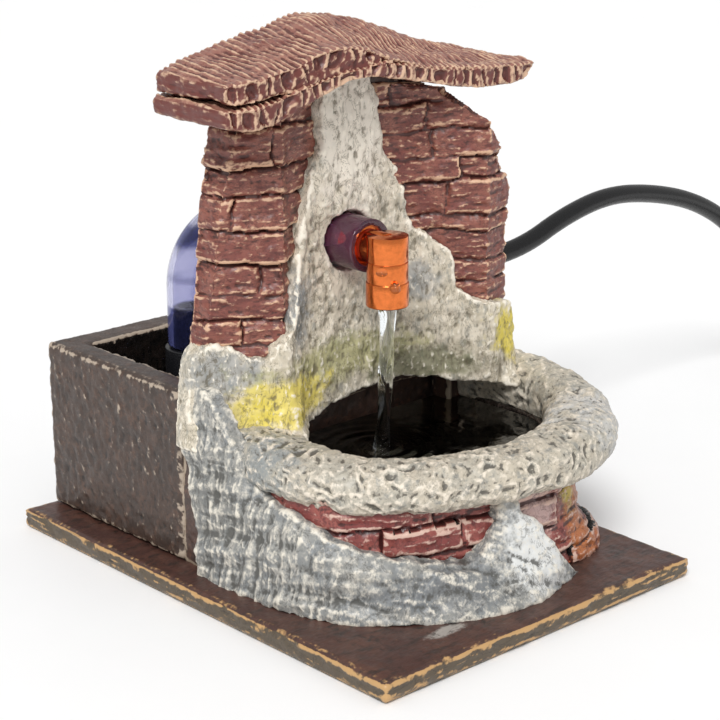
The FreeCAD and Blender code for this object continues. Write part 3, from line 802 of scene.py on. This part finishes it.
# ---------------------------------------------------------------- basin rim
# A thick rolled ring of pitted stone-coloured plaster. It is broad at the front left and narrow round the
# right and the back, where both of its ends run into the wall.
# Each station: angle of the section in plan, its inner and outer edge, its underside and its top.
rim_stations = [
    ((-24, 8), (-47, 12), 36, 51), ((-24.5, -2), (-48.5, 1), 35.5, 51), ((-26.5, -15), (-49, -13), 35, 50.5),
    ((-26.5, -27), (-48.5, -30), 34.5, 49.5), ((-22, -38.5), (-41, -48), 34, 49),
    ((-12, -43), (-24, -61), 34, 48.5), ((0, -48), (-4, -69), 34, 48.5), ((15, -52.5), (15, -73), 34, 49),
    ((30, -49.5), (35, -72.5), 34.5, 50), ((42, -44), (50, -66.5), 35, 51),
    ((50.5, -36), (62, -55), 35, 52), ((55, -26), (69.5, -38.5), 35, 53.5),
    ((55.5, -14), (70.5, -19), 35, 55), ((54, -4), (68, -3), 35, 55.5), ((50, 5), (61, 9), 35, 54)]
sections = []
bpy.ops.object.select_all(action="DESELECT")
for (x0, y0), (x1, y1), low, high in rim_stations:
    bpy.ops.mesh.primitive_circle_add(vertices=16, radius=1, location=(0, 0, 0))
    section = bpy.context.object
    sections.append(section)
    half = Vector((x1 - x0, y1 - y0, 0)) / 2
    centre = Vector(((x0 + x1) / 2, (y0 + y1) / 2, (low + high) / 2))
    for point in section.data.vertices:
        out, up = point.co.x, point.co.y
        out, up = math.copysign(abs(out) ** 0.8, out), math.copysign(abs(up) ** 0.8, up)
        droop = 0.9 * out * out
        point.co = (centre + half * out + Vector((0, 0, (high - low) / 2 * up - droop))) * mm
for section in sections:
    section.select_set(True)
bpy.context.view_layer.objects.active = sections[0]
bpy.ops.object.join()
rim = bpy.context.object
rim.name = rim.data.name = "stone_rim"
bpy.ops.object.mode_set(mode="EDIT")
bpy.ops.mesh.select_all(action="SELECT")
bpy.ops.mesh.bridge_edge_loops()
bpy.ops.mesh.select_all(action="DESELECT")
bpy.ops.mesh.select_non_manifold()
bpy.ops.mesh.edge_face_add()
bpy.ops.object.mode_set(mode="OBJECT")
face_outwards()
apply_modifier(rim, "SUBSURF", levels=2, render_levels=2)
remesh(rim, 0.6)


# The wander of the pits is drawn from a fixed seed, so that they fall in the same places every time.
pit_seed = 5
noise.seed_set(pit_seed)


def rim_relief(place, normal):
    """Pits with low walls between them, drawn out into slanting strokes round the right side."""
    right = soft_step(place.x, 10, 45)
    spot = Vector((place.x / (5.2 - right), place.y / 5.2, place.z / (4.2 + 1.5 * right)))
    spot += 0.55 * noise.noise_vector(place / 5)
    near = noise.voronoi(spot)[0]
    wall = near[1] - near[0]
    pits = -1.1 * soft_step(wall, 0.05, 0.5) * (1 - 0.45 * right)
    depth = noise.fractal(place / 6, 0.8, 2.1, 3)
    lumps = 0.9 * rough(place, (12, 12, 10), 61, 3)
    return pits * (0.5 + 0.9 * depth) + lumps + 0.3 * rough(place, (2.0, 2.0, 1.6), 62, 3) + 0.1


model_surface(rim, rim_relief)
rim_paint = painted("rim_stone", [(192, 182, 164), (178, 172, 158), (146, 144, 136)], (88, 84, 76),
                    (230, 219, 202), washed=(0.3, 2.0), brushed=(0.3, 2.6), roughness=0.5, fine=0.8,
                    cracks=0.5, crack_size=4, grit=0.9,
                    patches=[((-42, -12, 41), (11, 20, 12), (128, 136, 140), 0.75),
                             ((52, -56, 42), (26, 18, 12), (198, 200, 202), 0.6)])
complete(rim, rim_paint, "root", "plaster_resin", "basin_rim")


# ---------------------------------------------------------------- plaster apron
# Plaster slumped down the bowl's left and front onto the base plate, drawn out in folds, with white ridges
# and cracks. It leaves a band of brick bare under the rim.
apron_foot = [(-53, 15.5), (-54, 6), (-54.5, -6), (-53, -18), (-52, -32), (-47, -46), (-37, -58),
              (-26, -66.5), (-12, -72.5), (2, -75), (16, -73), (30, -68.5), (42, -63), (52, -55)]
apron_shoulder = [(-51.5, 15.5), (-51.5, 6), (-50, -4), (-48.5, -14), (-48, -28), (-44, -42), (-33, -52.5),
                  (-21, -58), (-9, -61.5), (3, -64), (15, -66), (28, -65.5), (39, -62), (49, -54.5)]
apron_top = [(0, 62), (1, 62), (2, 50), (3, 37), (4, 33), (5, 28), (6, 23.5), (7, 21), (8, 20),
             (8.5, 23), (8.8, 29), (9, 35), (9.35, 35), (9.6, 29), (10, 25), (10.3, 19), (10.55, 14),
             (10.8, 8), (11, 6.5)]
tub_seam = [(5, 4.5), (22, 8.2), (37, 11), (48, 13.9), (58, 12.6), (74, 10.6)]


def apron_skin(station, height, depth):
    """Where a point of the apron's block goes: station along it, height up it, depth 1 at its face."""
    wave = 1.2 * noise.fractal(Vector((station * 2.1, 0, 5)), 0.8, 2.1, 3)
    top = max(through(apron_top, station) + wave * soft_step(station, 2, 4), 6.6)
    z = 6.0 + height * (top - 6.0)
    down = min(max((34 - z) / 27.5, 0), 1)
    spread = 0.35 * down + 0.65 * down * down
    spot = [along(apron_shoulder, station, axis) + spread * (along(apron_foot, station, axis)
            - along(apron_shoulder, station, axis)) for axis in (0, 1)]
    thickness = 0.4 + 2.2 * soft_step(1 - height, 0, 0.2) if depth else -5.0
    inward = Vector((6 - spot[0], -25 - spot[1])).normalized()
    x, y = spot[0] - inward.x * (thickness - 1.2), spot[1] - inward.y * (thickness - 1.2)
    return x, min(y, through(tub_seam, z)), z


def apron_relief(place, normal):
    """Slanting folds and veins, and smoother slabs between them."""
    lean = place.x * 0.5 + place.y * 0.3 + place.z * 0.9
    folds = 1.0 * noise.fractal(Vector((lean / 9, place.z / 16, place.x / 20)), 0.8, 2.1, 3)
    streak = Vector((place.y / 3.5, place.z / 16, 2))
    upright = 1.6 * soft_step(-place.x, 42, 50) * noise.fractal(streak, 0.8, 2.1, 3)
    spot = Vector((place.x / 14 + 4, place.y / 14, place.z / 10 + lean / 30))
    vein = abs(noise.fractal(spot, 0.9, 2.0, 3))
    ridge = 0.25 * math.exp(-(vein / 0.08) ** 2)
    return 1.3 * folds + 0.5 * upright + ridge + 0.28 * rough(place, (4, 4, 6), 71, 4)


apron = mapped_block("apron", (0, 0, 0), (11, 1, 1), (330, 60), apron_skin)
remesh(apron, 0.6)
soften(apron, 4)
model_surface(apron, apron_relief)
apron_paint = painted("apron_plaster", [(142, 142, 138), (124, 127, 128), (166, 163, 156)], (78, 77, 73),
                      (228, 221, 206), washed=(0.3, 2.6), brushed=(-0.2, 3.0), roughness=0.45, fine=0.7,
                      cracks=0.6, crack_size=8, stretch=(1, 1, 1.6), grit=1.1,
                      patches=[((12, -70, 20), (15, 14, 17), (220, 221, 219), 0.95),
                               ((-24, -64, 14), (24, 16, 7), (104, 108, 112), 0.6),
                               ((-50, 2, 24), (6, 16, 24), (112, 112, 108), 0.5)])
complete(apron, apron_paint, "root", "plaster_resin", "plaster_apron")


# ---------------------------------------------------------------- spout
# Turned and orange anodised aluminium: the barrel with its neck and barbed stub, and the screwed nozzle ring.
orange = metal("orange_anodised", (234, 128, 68), 0.17, 0.35)
bevelled_copy("spout_body", "spout", orange, 0.25)
bevelled_copy("spout_nozzle", "spout", orange, 0.3)


# ---------------------------------------------------------------- delivery hose
# Soft translucent blue-violet PVC hose, 12 mm bore and 16 mm outside, from the pump up through the wall.
hose_pvc, tree, shader = finish("blue_hose", Transmission_Weight=0.92, IOR=1.42, Coat_Weight=0.3)
spots = grain(tree, 6)
depth = add_node(tree, "SeparateXYZ", {0: add_node(tree, "TexCoord").outputs["Object"]}).outputs["Y"]
# Painted reflection and painted shade: white and navy bands alternate up the hose and stand in for the light
# and dark that it reflects.
painted_reflection_noise = grain(tree, 13, 1.0, 0.5, stretch=(9, 9, 1))
painted_reflection_and_shade = blend(tree, edge(tree, painted_reflection_noise, 0.44, 0.52), rgb(66, 72, 128), rgb(220, 220, 242))
# Painted light: the hose in front of the wall gets a pink tint in place of the orange stub seen through it.
seen_through_tint = blend(tree, edge(tree, depth, 0.004, 0.012), rgb(230, 140, 168), painted_reflection_and_shade)
tree.links.new(blend(tree, edge(tree, spots, 0, 1, 0.4), seen_through_tint, rgb(150, 152, 206)),
               shader.inputs["Base Color"])
tree.links.new(edge(tree, spots, 0, 1, 0.08), shader.inputs["Roughness"])
bevelled_copy("delivery_hose", "root", hose_pvc, 0.4)


# ---------------------------------------------------------------- water
# Tap water: the pool in the basin, the water in the tub, the stream that falls from the nozzle and two
# drops that hang on the spout.
def water_finish(name, tint, roughness=0.02):
    material, tree, shader = finish(name, Transmission_Weight=1.0, IOR=1.333, Roughness=roughness)
    ripples = grain(tree, 5.0, 2.0, 0.5)
    tree.links.new(blend(tree, ripples, rgb(*tint), rgb(*[min(t + 8, 255) for t in tint])),
                   shader.inputs["Base Color"])
    tree.links.new(bump(tree, ripples, 0.25, 0.5), shader.inputs["Normal"])
    return material


pool_water = water_finish("pool_water", (84, 76, 66))
basin_level, tub_level = 38.5, 46.0
spout_foot = (0.0, -18.0)


def pool(name, low, high, ripple):
    """A body of still water with a slightly rippled top."""
    piece = cell_block(name, low, high, (60, 48))
    for point in piece.data.vertices:
        if point.co.z > (high[2] - 0.5) * mm:
            away = math.hypot(point.co.x / mm - spout_foot[0], point.co.y / mm - spout_foot[1] - 2.4)
            rings = ripple * math.exp(-away / 14) * math.cos(away * 1.3)
            point.co.z += (rings + 0.12 * noise.noise(point.co * 90)) * mm
    piece.data.update()
    smooth_sides(piece, 50)
    piece.data.materials.append(pool_water)
    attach(piece, "root")
    return piece


pool("basin_water", (-22, -47, 15), (53, 9, basin_level), 0.5)
pool("tub_water", (-42.5, 25, 12), (42.5, 73, tub_level), 0.0)

stream_top, stream_foot = 84.5, basin_level - 5
stream_r, stream_taper, stream_lean, stream_cuts = 2.5, 0.6, 2.7, 40
bpy.ops.object.select_all(action="DESELECT")
bpy.ops.mesh.primitive_cylinder_add(vertices=28, radius=1, depth=1, end_fill_type="NGON",
                                    location=(0, 0, 0.5))
stream = bpy.context.object
stream.name = stream.data.name = "falling_water"
bpy.ops.object.transform_apply(location=True, rotation=True, scale=True)
bpy.ops.object.mode_set(mode="EDIT")
bpy.ops.mesh.select_all(action="DESELECT")
bpy.ops.object.mode_set(mode="OBJECT")
bpy.context.tool_settings.mesh_select_mode = (False, True, False)
for side in stream.data.edges:
    ends = [stream.data.vertices[i].co for i in side.vertices]
    side.select = abs(ends[0].z - ends[1].z) > 0.5
bpy.ops.object.mode_set(mode="EDIT")
bpy.ops.mesh.subdivide_edgering(number_cuts=stream_cuts, interpolation="LINEAR")
bpy.ops.object.mode_set(mode="OBJECT")
for point in stream.data.vertices:
    fall = 1 - point.co.z
    angle = math.atan2(point.co.y, point.co.x)
    radius = stream_r - stream_taper * fall + 0.22 * math.sin(fall * 9)
    flat = 0.3 * math.sin(fall * 7 + 0.6)
    radius *= 1 + flat * math.cos(2 * (angle - fall * 3)) + 0.06 * math.cos(5 * angle + fall * 14)
    height = stream_top - fall * (stream_top - stream_foot)
    point.co = Vector((radius * math.cos(angle),
                       spout_foot[1] + radius * math.sin(angle) + stream_lean * fall ** 2, height)) * mm
stream.data.update()
smooth_sides(stream, 60)
stream.data.materials.append(water_finish("falling_water", (240, 244, 246), 0.03))
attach(stream, "spout")

for number, (turn, height, size, drawn) in enumerate([(212, 95.2, 1.7, 0.85), (248, 90.4, 1.5, 1.25)]):
    angle = math.radians(turn)
    bpy.ops.mesh.primitive_uv_sphere_add(segments=24, ring_count=14, radius=1, location=(0, 0, 0))
    drop = bpy.context.object
    drop.name = drop.data.name = "drop_%d" % (number + 1)
    for point in drop.data.vertices:
        lower = 1 + 0.25 * max(-point.co.z, 0) - 0.3 * max(point.co.z, 0)
        out = Vector((point.co.x * lower, point.co.y * lower, point.co.z * drawn)) * size
        centre = Vector((6.4 * math.cos(angle), spout_foot[1] + 6.4 * math.sin(angle), height))
        point.co = (centre + out) * mm
    drop.data.update()
    smooth_sides(drop, 80)
    drop.data.materials.append(stream.data.materials[0])
    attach(drop, "spout")


# ---------------------------------------------------------------- pump
# Small submersible pump on four rubber cups in the tub: motor shell potted with epoxy round its iron core,
# bobbin and winding, impeller chamber, sponge, slotted intake cap and flow dial.
black_plastic = smooth_plastic("pump_plastic", (24, 24, 27), 0.4, 0.5)
rubber = gland.data.materials[0]
for node, width in (("pump_housing", 0.8), ("chamber_cover", 0.5), ("intake_cover", 0.5)):
    bevelled_copy(node, "root", black_plastic, width)
bevelled_copy("flow_dial", "dial", black_plastic, 0.25)
bevelled_copy("suction_cups", "root", rubber, 0.3)
bevelled_copy("shaft_bushings", "root", rubber, 0.15)
bevelled_copy("filter_sponge", "root", woven("open_sponge", (26, 26, 27), 1.4), 0.6)
bevelled_copy("impeller", "rotor", smooth_plastic("white_acetal", (214, 213, 206), 0.35),
              0.12)
bevelled_copy("rotor_magnet", "rotor", smooth_plastic("ferrite", (44, 44, 48), 0.5), 0.25)
bevelled_copy("rotor_shaft", "root", smooth_plastic("alumina", (232, 230, 222), 0.2), 0.12)
bevelled_copy("potting_resin", "root", smooth_plastic("cast_epoxy", (34, 32, 30), 0.35), 0)
bevelled_copy("coil_bobbin", "root", smooth_plastic("nylon", (206, 200, 180), 0.4), 0.2)
bevelled_copy("stator_core", "root", metal("iron_laminations", (120, 120, 124), 0.4, 0.8), 0.2)
bevelled_copy("stator_winding", "root", metal("copper_wire", (196, 112, 62), 0.3, 1.0), 0.5)


# ---------------------------------------------------------------- stage and light
# A pale floor under an even white sky, with a large soft light from the front left above.
stage_paint, tree, shader = finish("pale_floor", Roughness=0.6)
tree.links.new(blend(tree, grain(tree, 60), rgb(246, 246, 246), rgb(250, 250, 250)),
               shader.inputs["Base Color"])
bpy.ops.object.select_all(action="DESELECT")
bpy.ops.mesh.primitive_plane_add(size=8, location=(0, 0, 0))
floor = bpy.context.object
floor.name = "floor"
floor.data.materials.append(stage_paint)

world = bpy.data.worlds.new("studio")
bpy.context.scene.world = world
world.use_nodes = True
world.node_tree.nodes["Background"].inputs["Color"].default_value = (1, 1, 1, 1)
world.node_tree.nodes["Background"].inputs["Strength"].default_value = 0.6
bpy.ops.object.light_add(type="SUN", location=(-0.5, -0.5, 0.9))
sun = bpy.context.object
sun.data.angle = math.radians(22)
sun.data.energy = 2.3
sun.rotation_euler = Vector((-0.62, -0.5, 0.85)).to_track_quat("Z", "Y").to_euler()
